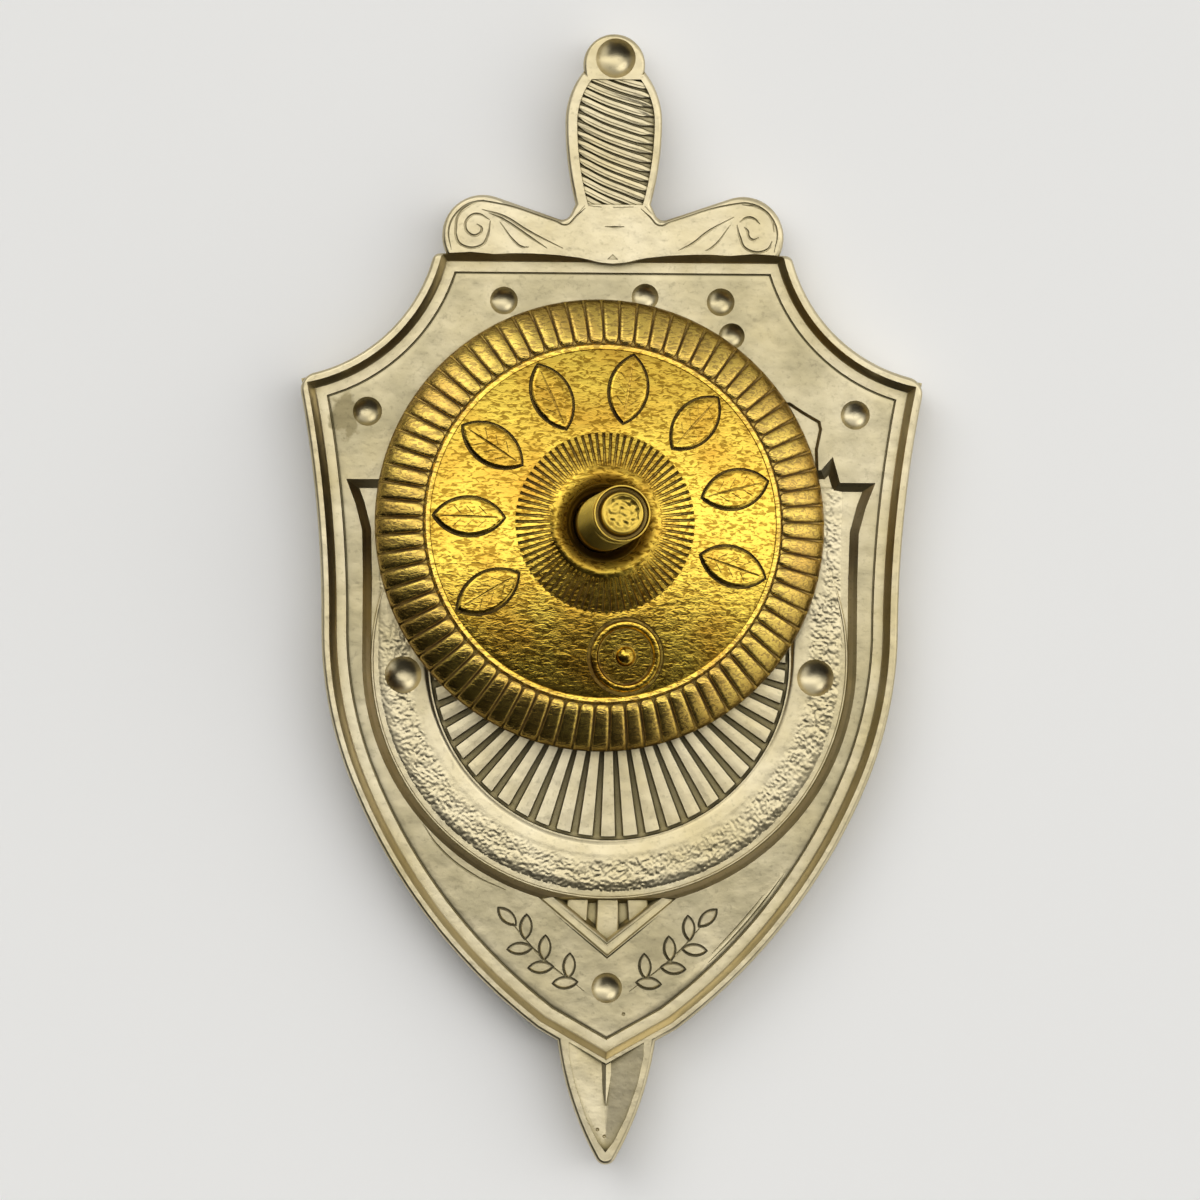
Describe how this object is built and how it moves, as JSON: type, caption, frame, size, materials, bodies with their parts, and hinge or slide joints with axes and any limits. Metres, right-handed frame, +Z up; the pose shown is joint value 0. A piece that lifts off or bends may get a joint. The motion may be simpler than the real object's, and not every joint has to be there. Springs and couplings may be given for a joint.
{
  "type": "commemorative screw-back badge",
  "caption": "Sword-and-shield badge lying face down: a struck metal sheet with a threaded post soldered to its back and a domed, knurled screw nut that clamps cloth against it.",
  "frame": {"origin": "on the surface the badge lies on, under the middle of its outline", "axes": "+Z up, out of the back of the badge; +Y towards the sword's pommel; +X to the right as the back is seen"},
  "size_m": [0.0274, 0.05, 0.0108],
  "materials": {
    "nickel_silver": "struck nickel silver, satin, a little yellowed, olive in the corners",
    "turned_brass": "turned brass, smooth",
    "stamped_brass": "stamped brass with a fine grained ground"
  },
  "bodies": {
    "badge": {"struck_plate": "nickel_silver"},
    "hub": {"nut_hub": "turned_brass"},
    "disc": {"nut_disc": "stamped_brass"}
  },
  "joints": [
    {"name": "nut_travel", "type": "slide", "parent": "badge", "child": "hub", "axis": [0.1297, 0.0633, 0.9895], "range_m": [0, 0.007]},
    {"name": "nut_screw", "type": "hinge", "parent": "hub", "child": "disc", "pos_m": [-0.00047, 0.00327, 0.00322], "axis": [0.1297, 0.0633, 0.9895], "range_deg": [0, 5600]}
  ],
  "couplings": [
    {"joint": "nut_travel", "follows": "nut_screw", "m_per_rad": 0.00007162}
  ]
}
